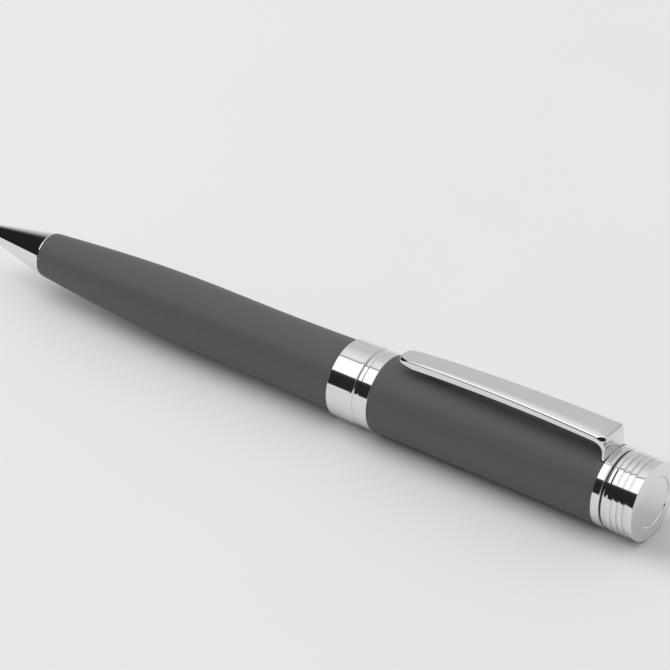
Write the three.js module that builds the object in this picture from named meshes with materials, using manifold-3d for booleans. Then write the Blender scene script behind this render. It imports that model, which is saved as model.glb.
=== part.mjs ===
// Twist-action ballpoint pen with a pocket clip and a standard 98 mm refill, in millimetres.
// It lies along X on the plane z = 0 with the writing tip towards -X and the clip on top.
// Stations run along the axis from the front face of the centre band, positive towards the end knob.

import * as THREE from "three";
import { mergeVertices, toCreasedNormals } from "three/addons/utils/BufferGeometryUtils.js";
import Module from "manifold-3d";

const wasm = await Module();
wasm.setup();

// Facets round the turned pieces
const OUTER_FACETS = 40;
const INNER_FACETS = 24;
const ARC_STEPS = 3;

// Clearances: pressed or screwed pieces, pieces that turn or slide, and loose play
const FIT = 0.1;
const RUNNING = 0.2;
const PLAY = 0.3;

// Refill
const REFILL_LENGTH = 98.1;
const REFILL_RADIUS = 2.95;
const REFILL_WALL = 0.35;
const NECK_RADIUS = 1.5;
const NECK_WALL = 0.55;
const NECK_LENGTH = 10;
const TIP_RADIUS = 1.15;
const TIP_LENGTH = 10.6;
const TIP_CONE = 3.2;
const TIP_SPIGOT = 2.8;
const BALL_RADIUS = 0.35;
const INK_CHANNEL = 0.2;
const INK_HEADROOM = 8;
const CROWN_LENGTH = 2.2;
const CROWN_PLUG = 2.4;
const CROWN_BORE = 0.8;
const CROWN_TEETH = 6;
const CROWN_TOOTH_DEPTH = 0.9;

// Twist action
const TRAVEL = 5;
const TWIST = THREE.MathUtils.degToRad(150);
const BALL_RETRACTED = 2;
const PIN_RADIUS = 0.6;
const PIN_CLEARANCE = 0.15;
const PLUNGER_HEAD = 3.2;
const PLUNGER_SHANK = 2.6;
const PIN_SETBACK = 7.9;
const PLUNGER_TAIL = 6;
const PLUNGER_END_PLAY = 1.5;
const HOUSING_PLAY = 0.25;
const HOUSING_WALL = 0.8;
const HOUSING_THREAD_LENGTH = 13.6;
const HOUSING_COLLAR = 1;
const COLLAR_STEP = 0.6;
const THREAD_STEP = 0.25;
const SLEEVE_WALL = 0.8;
const SEAL_SECTION = 0.25;
const SEAL_SETBACK = 2.4;
const SEAL_GROOVE = 0.8;
const SEAL_GROOVE_DEPTH = 0.38;
const CAP_SPIGOT = 2;
const CAP_FLANGE = 0.8;
const CAP_LIP = 0.9;

// Upper barrel and its liner
const LINER_WALL = 0.45;
const UPPER_WALL = 0.85;
const END_BUSH_LENGTH = 7.25;
const RING_SPIGOT = 3.1;

// Centre band
const BAND_STAND = 0.05;
const LOWER_RING_LENGTH = 5.08;
const UPPER_RING_LENGTH = 2.75;
const TWIST_GAP = 0.12;
const BAND_EDGE = 0.1;
const TWIST_EDGE = 0.3;
const LIP_LENGTH = 0.95;
const LIP_DROP = 0.08;

// Lower barrel
const LOWER_LENGTH = 63.4;
const LOWER_WALL = 1;
const BAND_STEP = 0.32;
const LOWER_SPIGOT = 5;
const LOWER_SPIGOT_WALL = 0.7;
const BUSH_LENGTH = 13.6;
const BUSH_WALL = 0.55;
const FRONT_WALL = 0.55;
const FRONT_EDGE = 0.35;
// How far the outline falls below its rear radius at these shares of its length
const WAIST = { share: 0.25, drop: 0.365 };
const BELLY = { share: 0.54, drop: 0.5 };
const SHOULDER = { share: 0.8, drop: 1.33 };

// Nose cone and return spring
const CONE_LENGTH = 12.4;
const CONE_END_WALL = 0.25;
const BEAD_LENGTH = 0.5;
const BEAD_STEP = 0.1;
const SHANK_LENGTH = 4.5;
const SHANK_WALL = 0.85;
const OPENING_PLAY = 0.1;
const SEAT_DEPTH = 7.2;
const WIRE = 0.4;
const SPRING_PLAY = 0.25;
const CURLS = 9;
const CURL_STEPS = 8;
const WIRE_SIDES = 5;

// Clip
const CLIP_LENGTH = 39.8;
const CLIP_ROOT_WIDTH = 5.8;
const CLIP_END_WIDTH = 3.55;
const LEG_WIDTH = 5.7;
const CLIP_SHEET = 0.5;
const CLIP_FLANGE = 1.22;
const CLIP_CROWN = 0.16;
const CLIP_RISE = 3.7;
const CLIP_APEX_SETBACK = 9.2;
const CLIP_THROAT = 1.5;
const CLIP_ARCH_RADIUS = 335;
const CLIP_BEND = 0.9;
const CLIP_EDGE = 0.12;
const CLIP_FOOT = 0.25;
const CLIP_STEPS = 12;
const BEND_STEPS = 10;
// Rounded free end of the clip, in steps back from its tip
const CLIP_NOSE_LENGTH = 2.2;
const CLIP_NOSE = [
  { setback: 0, drop: 0.2, width: 1.5, flange: 0.54 },
  { setback: 0.1, drop: 0.14, width: 2.2, flange: 0.56 },
  { setback: 0.3, drop: 0.08, width: 2.8, flange: 0.64 },
  { setback: 0.65, drop: 0.02, width: 3.25, flange: 0.78 },
  { setback: 1.2, drop: -0.03, width: 3.5, flange: 1 },
];
const GRIP_RADIUS = 1.1;
const GRIP_SETBACK = 3.1;

// Cap end
const EYE_THICKNESS = 0.5;
const CLIP_RING_LENGTH = 1.35;
const WASHER_LENGTH = 0.28;
const WASHER_STEP = 0.4;
const KNOB_LENGTH = 5.87;
const KNOB_FILLET = 0.7;
const KNOB_LIP = 1.1;
const KNOB_GROOVES = 3;
const GROOVE_START = 2.02;
const GROOVE_PITCH = 1.07;
const GROOVE_WIDTH = 0.25;
const GROOVE_DEPTH = 0.2;
const V_CHAMFER = 0.25;
const DISC_RADIUS = 4.1;
const DISC_THICKNESS = 0.7;
const DISC_RECESS = 0.12;
const STUD_RADIUS = 2;
const STUD_ENGAGEMENT = 3.4;

// Radii, built up from the refill outwards
const refillBore = REFILL_RADIUS - REFILL_WALL;
const housingBore = REFILL_RADIUS + HOUSING_PLAY;
const housingRadius = housingBore + HOUSING_WALL;
const threadRadius = housingRadius - THREAD_STEP;
const collarRadius = housingRadius + COLLAR_STEP;
const sleeveBore = housingRadius + RUNNING;
const sleeveRadius = sleeveBore + SLEEVE_WALL;
const linerBore = sleeveRadius + RUNNING;
const linerRadius = linerBore + LINER_WALL;
const upperBore = linerRadius + FIT;
const upperRadius = upperBore + UPPER_WALL;
const bandRadius = upperRadius + BAND_STAND;
const lowerRearRadius = bandRadius - BAND_STEP;
const bushBore = threadRadius + FIT;
const bushRadius = bushBore + BUSH_WALL;
const ringBore = bushRadius + FIT;
const spigotRadius = ringBore + LOWER_SPIGOT_WALL;
const spigotBore = spigotRadius + FIT;
const openingRadius = TIP_RADIUS + OPENING_PLAY;
const springMeanRadius = NECK_RADIUS + RUNNING + WIRE / 2;
const springBore = springMeanRadius + WIRE / 2 + SPRING_PLAY;
const shankRadius = springBore + SHANK_WALL;
const lowerFrontBore = shankRadius + FIT;
const lowerFrontRadius = lowerFrontBore + FRONT_WALL;
const beadRadius = lowerFrontRadius - BEAD_STEP;
const studHole = STUD_RADIUS + FIT;

// Stations along the axis
const lowerFront = -LOWER_LENGTH;
const coneBase = lowerFront - BEAD_LENGTH;
const opening = coneBase - CONE_LENGTH;
const springSeat = opening + SEAT_DEPTH;
const ballFront = opening + BALL_RETRACTED;
const tipFront = ballFront + BALL_RADIUS / 2;
const neckFront = tipFront + TIP_LENGTH;
const refillShoulder = neckFront + NECK_LENGTH;
const refillEnd = ballFront + REFILL_LENGTH;
const crownFace = refillEnd - CROWN_LENGTH;
const pinStation = refillEnd + PIN_SETBACK;
const plungerEnd = pinStation + PLUNGER_TAIL;
const housingEnd = plungerEnd + PLUNGER_END_PLAY + CAP_SPIGOT;
const lowerRingEnd = LOWER_RING_LENGTH;
const upperRingFront = lowerRingEnd + TWIST_GAP;
const upperFront = upperRingFront + UPPER_RING_LENGTH;
const collarFront = lowerRingEnd + FIT;
const collarEnd = collarFront + HOUSING_COLLAR;
const endBushFront = housingEnd + CAP_FLANGE + PLAY;
const endBushEnd = endBushFront + END_BUSH_LENGTH;
const eyeFront = endBushEnd + PLAY;
const upperEnd = eyeFront + EYE_THICKNESS;
const clipRingEnd = upperEnd + CLIP_RING_LENGTH;
const knobFront = clipRingEnd + WASHER_LENGTH;
const knobEnd = knobFront + KNOB_LENGTH;
const clipFace = upperEnd - FIT / 2;
const studFront = endBushFront + PLAY;
const studEnd = knobFront + STUD_ENGAGEMENT;

// Materials
const finish = (color, metalness, roughness) =>
  new THREE.MeshStandardMaterial({ color, metalness, roughness });
const lacquer = () => finish(0x5d5c58, 0.55, 0.5);
const chrome = () => finish(0xd4d7d9, 1, 0.08);
const brass = () => finish(0xb8955a, 1, 0.35);
const steel = () => finish(0xa9adb0, 1, 0.3);
const nylon = () => finish(0xd8d6ce, 0, 0.5);
const darkPlastic = () => finish(0x2a2b2d, 0, 0.5);
const rubber = () => finish(0x1c1c1c, 0, 0.8);
const fibre = () => finish(0x4a342c, 0, 0.85);
const ink = () => finish(0x10142c, 0, 0.35);

// A list of [station, radius, fillet] corners as points, with each fillet drawn as an arc
function outline(corners) {
  const points = [];
  corners.forEach(([station, radius, fillet = 0], i) => {
    const here = new THREE.Vector2(radius, station);
    if (fillet === 0) {
      points.push(here);
      return;
    }
    const before = corners[(i + corners.length - 1) % corners.length];
    const after = corners[(i + 1) % corners.length];
    const back = new THREE.Vector2(before[1], before[0]).sub(here).normalize();
    const on = new THREE.Vector2(after[1], after[0]).sub(here).normalize();
    const half = Math.acos(back.dot(on)) / 2;
    const middle = back.clone().add(on).normalize();
    const centre = here.clone().addScaledVector(middle, fillet / Math.sin(half));
    const start = here.clone().addScaledVector(back, fillet / Math.tan(half)).sub(centre);
    const end = here.clone().addScaledVector(on, fillet / Math.tan(half)).sub(centre);
    const sweep = Math.atan2(start.cross(end), start.dot(end));
    for (let k = 0; k <= ARC_STEPS; k++) {
      const turned = start.clone().rotateAround(new THREE.Vector2(), (sweep * k) / ARC_STEPS);
      points.push(turned.add(centre));
    }
  });
  return points;
}

// A piece turned about the pen's axis; its outline runs from axis to axis or closes on itself
function lathe(points, facets) {
  const open = points[0].x === 0 && points[points.length - 1].x === 0;
  const path = open ? points : [...points, points[0].clone()];
  return new THREE.LatheGeometry(path, facets).rotateZ(-Math.PI / 2);
}

const turned = (corners, facets = OUTER_FACETS) => lathe(outline(corners), facets);

// A plain sleeve between two stations
const sleeve = (from, to, bore, radius, facets = INNER_FACETS) =>
  turned([[from, bore], [from, radius], [to, radius], [to, bore]], facets);

// A bar between two stations
const bar = (from, to, radius, facets = INNER_FACETS) =>
  turned([[from, 0], [from, radius], [to, radius], [to, 0]], facets);

function solid(geometry) {
  const plain = geometry.clone();
  plain.deleteAttribute("normal");
  plain.deleteAttribute("uv");
  const welded = mergeVertices(plain, 1e-4);
  return new wasm.Manifold(new wasm.Mesh({
    numProp: 3,
    vertProperties: new Float32Array(welded.attributes.position.array),
    triVerts: new Uint32Array(welded.index.array),
  }));
}

function geometryOf(manifold) {
  const mesh = manifold.getMesh();
  const geometry = new THREE.BufferGeometry();
  geometry.setAttribute("position", new THREE.BufferAttribute(mesh.vertProperties, 3));
  geometry.setIndex(new THREE.BufferAttribute(mesh.triVerts, 1));
  return geometry;
}

const cut = (geometry, ...tools) =>
  geometryOf(tools.reduce((body, tool) => body.subtract(solid(tool)), solid(geometry)));

// Sum of a closed ring's edge products, which points along its normal
function ringNormal(ring) {
  const normal = new THREE.Vector3();
  ring.forEach((p, k) => normal.add(p.clone().cross(ring[(k + 1) % ring.length])));
  return normal.normalize();
}

// Joins closed sections of equal point counts into one capped body
function loft(rings) {
  const ahead = rings[1][0].clone().sub(rings[0][0]);
  const backwards = ringNormal(rings[0]).dot(ahead) < 0;
  const sections = backwards ? rings.map((ring) => [...ring].reverse()) : rings;
  const count = sections[0].length;
  const positions = sections.flat().flatMap((p) => [p.x, p.y, p.z]);
  const index = [];
  for (let s = 0; s + 1 < sections.length; s++) {
    for (let k = 0; k < count; k++) {
      const a = s * count + k;
      const b = s * count + ((k + 1) % count);
      index.push(a, b, a + count, b, b + count, a + count);
    }
  }
  const addCap = (ring, offset, facesBack) => {
    const across = ring[1].clone().sub(ring[0]).normalize();
    const up = ringNormal(ring).cross(across);
    const flat = ring.map((p) => new THREE.Vector2(p.dot(across), p.dot(up)));
    for (const [a, b, c] of THREE.ShapeUtils.triangulateShape(flat, [])) {
      index.push(...(facesBack ? [c, b, a] : [a, b, c]).map((k) => k + offset));
    }
  };
  addCap(sections[0], 0, true);
  addCap(sections[sections.length - 1], (sections.length - 1) * count, false);
  const geometry = new THREE.BufferGeometry();
  geometry.setAttribute("position", new THREE.Float32BufferAttribute(positions, 3));
  geometry.setIndex(index);
  return geometry;
}

// Radius of the lower barrel's outside at a station
const lowerOutline = new THREE.SplineCurve([
  new THREE.Vector2(lowerRearRadius, 0),
  new THREE.Vector2(lowerRearRadius - WAIST.drop, -WAIST.share * LOWER_LENGTH),
  new THREE.Vector2(lowerRearRadius - BELLY.drop, -BELLY.share * LOWER_LENGTH),
  new THREE.Vector2(lowerRearRadius - SHOULDER.drop, -SHOULDER.share * LOWER_LENGTH),
  new THREE.Vector2(lowerFrontRadius, lowerFront),
]);

// Lower half

function noseCone() {
  return turned([
    [opening, openingRadius],
    [opening, openingRadius + CONE_END_WALL, 0.15],
    [coneBase, beadRadius],
    [lowerFront, beadRadius],
    [lowerFront, shankRadius],
    [lowerFront + SHANK_LENGTH, shankRadius],
    [lowerFront + SHANK_LENGTH, springBore],
    [springSeat, springBore],
    [springSeat, openingRadius],
  ]);
}

function lowerBarrel() {
  const outside = lowerOutline.getPoints(16);
  const shoulder = new THREE.Vector2(lowerFrontBore, lowerFront + SHANK_LENGTH + PLAY);
  const counterbore = -LOWER_SPIGOT - PLAY;
  const inside = outside
    .filter((p) => p.y < counterbore - 1 && p.y > shoulder.y + 1)
    .map((p) => new THREE.Vector2(Math.max(p.x - LOWER_WALL, lowerFrontBore), p.y))
    .reverse();
  const front = outline([
    [lowerFront + 1, lowerFrontRadius],
    [lowerFront, lowerFrontRadius, FRONT_EDGE],
    [lowerFront, lowerFrontBore],
  ]).slice(1, -1);
  return lathe([
    ...outside.slice(0, -1),
    ...front,
    new THREE.Vector2(lowerFrontBore, lowerFront),
    shoulder,
    ...inside,
    new THREE.Vector2(inside[inside.length - 1].x, counterbore),
    new THREE.Vector2(spigotBore, counterbore),
    new THREE.Vector2(spigotBore, 0),
  ].reverse(), OUTER_FACETS);
}

function centreRingLower() {
  return turned([
    [-LOWER_SPIGOT, ringBore],
    [-LOWER_SPIGOT, spigotRadius],
    [0, spigotRadius],
    [0, bandRadius, BAND_EDGE],
    [lowerRingEnd, bandRadius, TWIST_EDGE],
    [lowerRingEnd, ringBore],
  ]);
}

function barrelBush() {
  const end = lowerRingEnd - PLAY;
  const flangeEnd = -LOWER_SPIGOT - PLAY;
  return turned([
    [end - BUSH_LENGTH, bushBore],
    [end - BUSH_LENGTH, bushRadius + FIT * 4],
    [flangeEnd, bushRadius + FIT * 4],
    [flangeEnd, bushRadius],
    [end, bushRadius],
    [end, bushBore],
  ], INNER_FACETS);
}

// Tube with two straight slots in which the cross pin slides
function mechanismHousing() {
  const groove = collarEnd + SEAL_SETBACK;
  const body = turned([
    [collarFront - HOUSING_THREAD_LENGTH, housingBore],
    [collarFront - HOUSING_THREAD_LENGTH, threadRadius],
    [collarFront, threadRadius],
    [collarFront, collarRadius],
    [collarEnd, collarRadius],
    [collarEnd, housingRadius],
    [groove, housingRadius],
    [groove, housingRadius - SEAL_GROOVE_DEPTH],
    [groove + SEAL_GROOVE, housingRadius - SEAL_GROOVE_DEPTH],
    [groove + SEAL_GROOVE, housingRadius],
    [housingEnd, housingRadius],
    [housingEnd, housingBore],
  ], INNER_FACETS);
  const half = PIN_RADIUS + PIN_CLEARANCE;
  const slot = new THREE.BoxGeometry(TRAVEL + 2 * half, 2 * half, 4 * housingRadius);
  return cut(body, slot.translate(pinStation - TRAVEL / 2, 0, 0));
}

function frictionRing() {
  const station = collarEnd + SEAL_SETBACK + SEAL_GROOVE / 2;
  const ringRadius = housingRadius - SEAL_GROOVE_DEPTH + SEAL_SECTION + 0.02;
  return new THREE.TorusGeometry(ringRadius, SEAL_SECTION, 6, INNER_FACETS)
    .rotateY(Math.PI / 2)
    .translate(station, 0, 0);
}

function housingCap() {
  return turned([
    [housingEnd - CAP_SPIGOT, 0],
    [housingEnd - CAP_SPIGOT, housingBore - FIT],
    [housingEnd, housingBore - FIT],
    [housingEnd, housingRadius + CAP_LIP],
    [housingEnd + CAP_FLANGE, housingRadius + CAP_LIP],
    [housingEnd + CAP_FLANGE, 0],
  ], INNER_FACETS);
}

// Upper half

function centreRingUpper() {
  const step = upperRingFront + LIP_LENGTH;
  return turned([
    [upperRingFront, linerBore],
    [upperRingFront, bandRadius - LIP_DROP, BAND_EDGE],
    [step - LIP_DROP, bandRadius - LIP_DROP],
    [step, bandRadius],
    [upperFront, bandRadius, BAND_EDGE],
    [upperFront, linerRadius],
    [upperFront + RING_SPIGOT, linerRadius],
    [upperFront + RING_SPIGOT, linerBore],
  ]);
}

function upperBarrel() {
  const tube = sleeve(upperFront, upperEnd, upperBore, upperRadius, OUTER_FACETS);
  const notch = new THREE.BoxGeometry(2, LEG_WIDTH + 2 * FIT, 2 * UPPER_WALL + 2);
  return cut(tube, notch.translate(clipFace - CLIP_SHEET - RUNNING + 1, 0, upperRadius));
}

function upperLiner() {
  return sleeve(upperFront + RING_SPIGOT + PLAY, housingEnd, linerBore, linerRadius);
}

// Slot that the cross pin follows: it advances by TRAVEL over the twist angle
function helicalSlot(start) {
  const half = PIN_RADIUS + PIN_CLEARANCE;
  const middle = (sleeveBore + sleeveRadius) / 2;
  const over = half / middle;
  const lead = TRAVEL / TWIST;
  const halfAlong = half * Math.hypot(1, lead / middle);
  const steps = 24;
  const sections = [];
  for (let k = 0; k <= steps; k++) {
    const turn = -over + (k / steps) * (TWIST + 2 * over);
    const station = pinStation - lead * turn;
    const angle = start - turn;
    const corner = (along, radius) =>
      new THREE.Vector3(station + along, -radius * Math.sin(angle), radius * Math.cos(angle));
    sections.push([
      corner(-halfAlong, sleeveBore - 0.4),
      corner(halfAlong, sleeveBore - 0.4),
      corner(halfAlong, sleeveRadius + 0.4),
      corner(-halfAlong, sleeveRadius + 0.4),
    ]);
  }
  return loft(sections);
}

function camSleeve() {
  const body = sleeve(collarEnd + PLAY, housingEnd - PLAY, sleeveBore, sleeveRadius);
  return cut(body, helicalSlot(0), helicalSlot(Math.PI));
}

function endBush() {
  return sleeve(endBushFront, endBushEnd, studHole, upperBore - FIT);
}

// Washer that the clip hangs from, with a tab in the barrel's notch
function clipEye() {
  const eye = sleeve(eyeFront, upperEnd, studHole, upperBore - FIT);
  const reach = upperRadius - CLIP_FOOT - PLAY;
  const disc = bar(eyeFront, upperEnd, reach, OUTER_FACETS);
  const tab = new THREE.BoxGeometry(2 * EYE_THICKNESS, LEG_WIDTH - 2 * FIT, reach)
    .translate(eyeFront + EYE_THICKNESS, 0, studHole + FIT + reach / 2);
  return geometryOf(solid(eye).add(solid(disc).intersect(solid(tab))));
}

function clipRing() {
  return turned([
    [upperEnd, studHole],
    [upperEnd, upperRadius, BAND_EDGE],
    [clipRingEnd - V_CHAMFER, upperRadius],
    [clipRingEnd, upperRadius - V_CHAMFER],
    [clipRingEnd, studHole],
  ]);
}

function knobWasher() {
  return sleeve(clipRingEnd, knobFront, studHole, upperRadius - WASHER_STEP, OUTER_FACETS);
}

function endKnob() {
  const grooves = [];
  for (let k = 0; k < KNOB_GROOVES; k++) {
    const at = knobFront + GROOVE_START + k * GROOVE_PITCH;
    grooves.push(
      [at - GROOVE_WIDTH / 2, upperRadius],
      [at, upperRadius - GROOVE_DEPTH],
      [at + GROOVE_WIDTH / 2, upperRadius],
    );
  }
  const seat = knobEnd - DISC_RECESS - DISC_THICKNESS;
  return turned([
    [studEnd + PLAY, 0],
    [studEnd + PLAY, studHole],
    [knobFront, studHole],
    [knobFront, upperRadius - V_CHAMFER],
    [knobFront + V_CHAMFER - LIP_DROP, upperRadius - LIP_DROP],
    [knobFront + KNOB_LIP - LIP_DROP, upperRadius - LIP_DROP],
    [knobFront + KNOB_LIP, upperRadius],
    ...grooves,
    [knobEnd, upperRadius, KNOB_FILLET],
    [knobEnd, DISC_RADIUS + FIT],
    [seat, DISC_RADIUS + FIT],
    [seat, 0],
  ]);
}

function endDisc() {
  const top = knobEnd - DISC_RECESS;
  return turned([
    [top - DISC_THICKNESS, 0],
    [top - DISC_THICKNESS, DISC_RADIUS],
    [top, DISC_RADIUS, BAND_EDGE],
    [top, 0],
  ]);
}

// Clip: a channel pressed from sheet, arched over the barrel and bent down into a leg

function clipHeight(station) {
  const apex = upperEnd - CLIP_APEX_SETBACK;
  return upperRadius + CLIP_RISE - (station - apex) ** 2 / (2 * CLIP_ARCH_RADIUS);
}

// Section across the clip, from a point on its top to the foot of its flanges: hollow below,
// crowned on top, with its side flanges turned down
function clipSection({ top, foot, width, crown, sheet = CLIP_SHEET }) {
  const half = width / 2;
  const down = foot.clone().sub(top).normalize();
  const at = (across, depth) =>
    new THREE.Vector3(top.x + down.x * depth, across, top.y + down.y * depth);
  const flange = top.distanceTo(foot);
  const lip = half - CLIP_SHEET;
  return [
    at(-half, flange), at(-half, CLIP_EDGE), at(CLIP_EDGE - half, 0),
    at(-half / 2, -0.75 * crown), at(0, -crown), at(half / 2, -0.75 * crown),
    at(half - CLIP_EDGE, 0), at(half, CLIP_EDGE), at(half, flange),
    at(lip, flange), at(lip, sheet), at(-lip, sheet), at(-lip, flange),
  ];
}

function clip() {
  const tip = upperEnd - CLIP_LENGTH;
  const bendStart = clipFace - CLIP_BEND;
  const thin = CLIP_SHEET + 0.03;
  const sections = [];
  const widthAt = (station) => THREE.MathUtils.mapLinear(
    station, tip, clipFace, CLIP_END_WIDTH, CLIP_ROOT_WIDTH);
  const addRow = (station, height, flange, width, crown) => sections.push({
    top: new THREE.Vector2(station, height),
    foot: new THREE.Vector2(station, height - flange),
    width,
    crown,
  });
  // Rounded free end
  for (const { setback, drop, width, flange } of CLIP_NOSE) {
    addRow(tip + setback, clipHeight(tip) - drop, flange, width, CLIP_CROWN / 2);
  }
  // Arched arm
  const armStart = tip + CLIP_NOSE_LENGTH;
  const throatStart = clipFace - thin - CLIP_THROAT;
  for (let k = 0; k <= CLIP_STEPS; k++) {
    const station = THREE.MathUtils.lerp(armStart, throatStart, k / CLIP_STEPS);
    addRow(station, clipHeight(station), CLIP_FLANGE, widthAt(station), CLIP_CROWN);
  }
  // Bend into the leg: the top turns tightly while the foot of the flange follows a wider throat
  const height = clipHeight(bendStart);
  const straight = bendStart - throatStart;
  const arc = (CLIP_BEND * Math.PI) / 2;
  const lower = CLIP_FLANGE + CLIP_THROAT - CLIP_BEND;
  for (let k = 1; k <= BEND_STEPS; k++) {
    const run = (k / BEND_STEPS) * (straight + arc + lower);
    const turn = THREE.MathUtils.clamp((run - straight) / CLIP_BEND, 0, Math.PI / 2);
    const top = new THREE.Vector2(
      bendStart + Math.min(run - straight, 0) + CLIP_BEND * Math.sin(turn),
      height - CLIP_BEND * (1 - Math.cos(turn)) - Math.max(run - straight - arc, 0),
    );
    const swing = (Math.PI / 2) * (k / BEND_STEPS);
    const foot = new THREE.Vector2(
      throatStart + CLIP_THROAT * Math.sin(swing),
      height - CLIP_FLANGE - CLIP_THROAT * (1 - Math.cos(swing)),
    );
    const lean = Math.abs(foot.clone().sub(top).angle() - (1.5 * Math.PI - turn));
    sections.push({
      top, foot,
      width: CLIP_ROOT_WIDTH,
      crown: CLIP_CROWN * (1 - k / BEND_STEPS),
      sheet: Math.min(CLIP_SHEET / Math.cos(lean), top.distanceTo(foot) - 0.03),
    });
  }
  const bottom = upperRadius - 2 * CLIP_FOOT - UPPER_WALL;
  sections.push({
    top: new THREE.Vector2(clipFace, bottom),
    foot: new THREE.Vector2(clipFace - thin, bottom),
    width: LEG_WIDTH,
    crown: 0,
  });
  const strip = solid(loft(sections.map(clipSection)));
  const grip = new THREE.SphereGeometry(GRIP_RADIUS, 12, 8)
    .translate(tip + GRIP_SETBACK, 0, upperRadius + PLAY + GRIP_RADIUS);
  const seat = bar(tip - 1, upperEnd + 1, upperRadius - CLIP_FOOT, OUTER_FACETS);
  return geometryOf(strip.add(solid(grip)).subtract(solid(seat)));
}

// Refill and its drive

function plunger() {
  const head = refillEnd + PLUNGER_HEAD;
  const body = turned([
    [refillEnd, 0],
    [refillEnd, REFILL_RADIUS],
    [head, REFILL_RADIUS],
    [head, PLUNGER_SHANK],
    [plungerEnd, PLUNGER_SHANK],
    [plungerEnd, 0],
  ], INNER_FACETS);
  const hole = new THREE.CylinderGeometry(PIN_RADIUS + FIT, PIN_RADIUS + FIT, 8, 12)
    .rotateX(Math.PI / 2)
    .translate(pinStation, 0, 0);
  return cut(body, hole);
}

function crossPin() {
  const reach = 2 * (sleeveRadius - PIN_CLEARANCE);
  return new THREE.CylinderGeometry(PIN_RADIUS, PIN_RADIUS, reach, 12)
    .rotateX(Math.PI / 2)
    .translate(pinStation, 0, 0);
}

function refillCrown() {
  const body = turned([
    [crownFace - CROWN_PLUG, CROWN_BORE],
    [crownFace - CROWN_PLUG, refillBore - FIT],
    [crownFace, refillBore - FIT],
    [crownFace, REFILL_RADIUS],
    [refillEnd, REFILL_RADIUS],
    [refillEnd, CROWN_BORE],
  ], INNER_FACETS);
  const gaps = [];
  for (let k = 0; k < CROWN_TEETH; k++) {
    gaps.push(
      new THREE.BoxGeometry(2 * CROWN_TOOTH_DEPTH, 0.9, 2)
        .translate(refillEnd, 0, REFILL_RADIUS)
        .rotateX((2 * Math.PI * k) / CROWN_TEETH),
    );
  }
  return cut(body, ...gaps);
}

function refillTube() {
  const neckBore = NECK_RADIUS - NECK_WALL;
  return turned([
    [neckFront, neckBore],
    [neckFront, NECK_RADIUS],
    [refillShoulder, NECK_RADIUS],
    [refillShoulder, REFILL_RADIUS, 0.25],
    [crownFace, REFILL_RADIUS],
    [crownFace, refillBore],
    [refillShoulder + NECK_WALL, refillBore],
    [refillShoulder + NECK_WALL, neckBore],
  ], INNER_FACETS);
}

function refillTip() {
  const neckBore = NECK_RADIUS - NECK_WALL;
  const pocket = BALL_RADIUS + 0.03;
  const pocketEnd = ballFront + 2 * pocket;
  return turned([
    [tipFront, pocket],
    [tipFront, pocket + 0.08],
    [tipFront + TIP_CONE, TIP_RADIUS],
    [neckFront, TIP_RADIUS],
    [neckFront, neckBore - FIT],
    [neckFront + TIP_SPIGOT, neckBore - FIT],
    [neckFront + TIP_SPIGOT, INK_CHANNEL],
    [pocketEnd, INK_CHANNEL],
    [pocketEnd, pocket],
  ], INNER_FACETS);
}

function writingBall() {
  return new THREE.SphereGeometry(BALL_RADIUS, 12, 8)
    .translate(ballFront + BALL_RADIUS, 0, 0);
}

function inkColumn() {
  const front = refillShoulder + NECK_WALL + PLAY;
  return bar(front, crownFace - CROWN_PLUG - INK_HEADROOM, refillBore - FIT);
}

// Round wire wound from the nose's seat to the refill's shoulder, with straight ends
function returnSpring() {
  const start = springSeat + WIRE + FIT / 2;
  const length = refillShoulder - springSeat - 2 * WIRE - FIT;
  const steps = CURLS * CURL_STEPS;
  const line = [];
  for (let k = 0; k <= steps; k++) {
    const angle = (2 * Math.PI * k) / CURL_STEPS;
    line.push(new THREE.Vector3(
      start + (length * k) / steps,
      springMeanRadius * Math.cos(angle),
      springMeanRadius * Math.sin(angle),
    ));
  }
  let least = Infinity;
  for (let i = 0; i < steps; i++) {
    for (let j = i + CURL_STEPS / 2; j <= steps; j++) {
      least = Math.min(least, line[i].distanceTo(line[j]) - WIRE);
    }
  }
  console.log(`return_spring: least gap to itself ${least.toFixed(2)} mm`);
  line.unshift(line[0].clone().add(new THREE.Vector3(-WIRE, 0, 0)));
  line.push(line[steps + 1].clone().add(new THREE.Vector3(WIRE, 0, 0)));
  return loft(line.map((at, k) => {
    const along = line[Math.min(k + 1, steps + 2)].clone().sub(line[Math.max(k - 1, 0)]);
    const out = new THREE.Vector3(0, at.y, at.z).normalize();
    const side = along.cross(out).normalize();
    return Array.from({ length: WIRE_SIDES }, (_, n) => {
      const around = (2 * Math.PI * n) / WIRE_SIDES;
      return at.clone()
        .addScaledVector(out, (WIRE / 2) * Math.cos(around))
        .addScaledVector(side, (WIRE / 2) * Math.sin(around));
    });
  }));
}

const pen = new THREE.Group();
const place = (name, geometry, material) => {
  const mesh = new THREE.Mesh(toCreasedNormals(geometry, 0.6), material);
  mesh.name = name;
  pen.add(mesh);
};

place("nose_cone", noseCone(), chrome());
place("lower_barrel", lowerBarrel(), lacquer());
place("barrel_bush", barrelBush(), brass());
place("centre_ring_lower", centreRingLower(), chrome());
place("mechanism_housing", mechanismHousing(), brass());
place("friction_ring", frictionRing(), rubber());
place("housing_cap", housingCap(), nylon());
place("centre_ring_upper", centreRingUpper(), chrome());
place("upper_barrel", upperBarrel(), lacquer());
place("upper_liner", upperLiner(), nylon());
place("cam_sleeve", camSleeve(), brass());
place("end_bush", endBush(), brass());
place("clip_eye", clipEye(), steel());
place("clip_ring", clipRing(), chrome());
place("knob_washer", knobWasher(), fibre());
place("end_knob", endKnob(), chrome());
place("end_disc", endDisc(), chrome());
place("knob_stud", bar(studFront, studEnd, STUD_RADIUS), steel());
place("clip", clip(), chrome());
place("plunger", plunger(), nylon());
place("cross_pin", crossPin(), steel());
place("refill_crown", refillCrown(), darkPlastic());
place("refill_tube", refillTube(), steel());
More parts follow.
